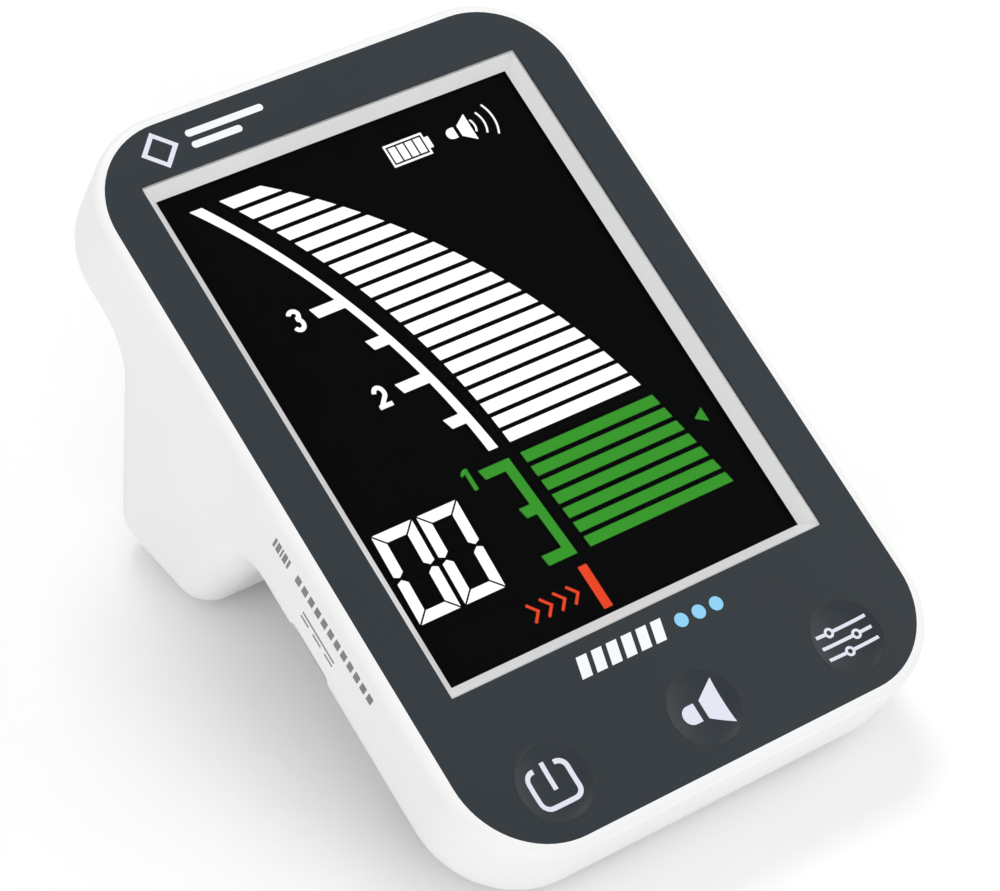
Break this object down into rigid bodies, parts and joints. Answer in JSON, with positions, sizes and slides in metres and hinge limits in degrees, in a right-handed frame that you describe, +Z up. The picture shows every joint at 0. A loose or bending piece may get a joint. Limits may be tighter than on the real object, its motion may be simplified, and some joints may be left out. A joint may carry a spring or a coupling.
{
  "type": "apex locator",
  "caption": "Tilted desk unit with a segment display behind a bevelled window, dished keys on a dark overlay, a white shell and a hollow foot.",
  "frame": {"origin": "on the desk, under the middle of the outline", "axes": "+X to the user's right, +Y away from the user, up the slope of the panel, +Z up"},
  "size_m": [0.0874, 0.1248, 0.0662],
  "materials": {
    "white_housing": "satin moulded ABS",
    "dark_overlay": "matte printed polyester film",
    "clear_window": "clear polyester window",
    "black_foam": "closed-cell foam",
    "display_glass": "black segment display",
    "backlight_white": "light guide in a white frame",
    "black_plastic": "moulded",
    "amber_film": "polyimide film",
    "ivory_plastic": "moulded",
    "board_green": "solder mask on glass-fibre board",
    "screw_steel": "zinc-plated",
    "socket_steel": "tinned steel",
    "nut_brass": "nickel-plated brass",
    "lead_red": "wire insulation",
    "cell_wrap": "shrink sleeve",
    "cone_paper": "pressed cone",
    "pad_rubber": "moulded rubber"
  },
  "bodies": {
    "housing": {"backlight": "backlight_white", "battery_cell": "cell_wrap", "battery_contacts": "nut_brass", "battery_cradle": "black_plastic", "battery_door": "white_housing", "battery_header": "ivory_plastic", "battery_leads": "lead_red", "battery_plug": "ivory_plastic", "board_screws": "screw_steel", "case_screws": "screw_steel", "charging_socket": "socket_steel", "charging_tongue": "black_plastic", "display_flex": "amber_film", "display_gasket": "black_foam", "display_tray": "black_plastic", "display_window": "clear_window", "door_screws": "screw_steel", "flex_connector": "ivory_plastic", "front_shell": "white_housing", "lcd_glass": "display_glass", "left_front_strip": "pad_rubber", "left_rear_pad": "pad_rubber", "main_board": "board_green", "measuring_chip": "black_plastic", "overlay_film": "dark_overlay", "power_switch": "black_plastic", "probe_leads": "lead_red", "probe_nut": "nut_brass", "probe_socket": "black_plastic", "processor_chip": "black_plastic", "rear_shell": "white_housing", "right_front_strip": "pad_rubber", "right_rear_pad": "pad_rubber", "set_switch": "black_plastic", "speaker_basket": "black_plastic", "speaker_cone": "cone_paper", "speaker_leads": "lead_red", "speaker_magnet": "socket_steel", "volume_switch": "black_plastic"},
    "power_key": {"power_key_cap": "dark_overlay", "power_key_plunger": "ivory_plastic", "power_switch_stem": "ivory_plastic"},
    "volume_key": {"volume_key_cap": "dark_overlay", "volume_key_plunger": "ivory_plastic", "volume_switch_stem": "ivory_plastic"},
    "set_key": {"set_key_cap": "dark_overlay", "set_key_plunger": "ivory_plastic", "set_switch_stem": "ivory_plastic"}
  },
  "joints": [
    {"name": "power_key_press", "type": "slide", "parent": "housing", "child": "power_key", "axis": [0, 0.3907, -0.9205], "range_m": [0, 0.0003], "stiffness_N_per_m": 2000},
    {"name": "volume_key_press", "type": "slide", "parent": "housing", "child": "volume_key", "axis": [0, 0.3907, -0.9205], "range_m": [0, 0.0003], "stiffness_N_per_m": 2000},
    {"name": "set_key_press", "type": "slide", "parent": "housing", "child": "set_key", "axis": [0, 0.3907, -0.9205], "range_m": [0, 0.0003], "stiffness_N_per_m": 2000}
  ]
}
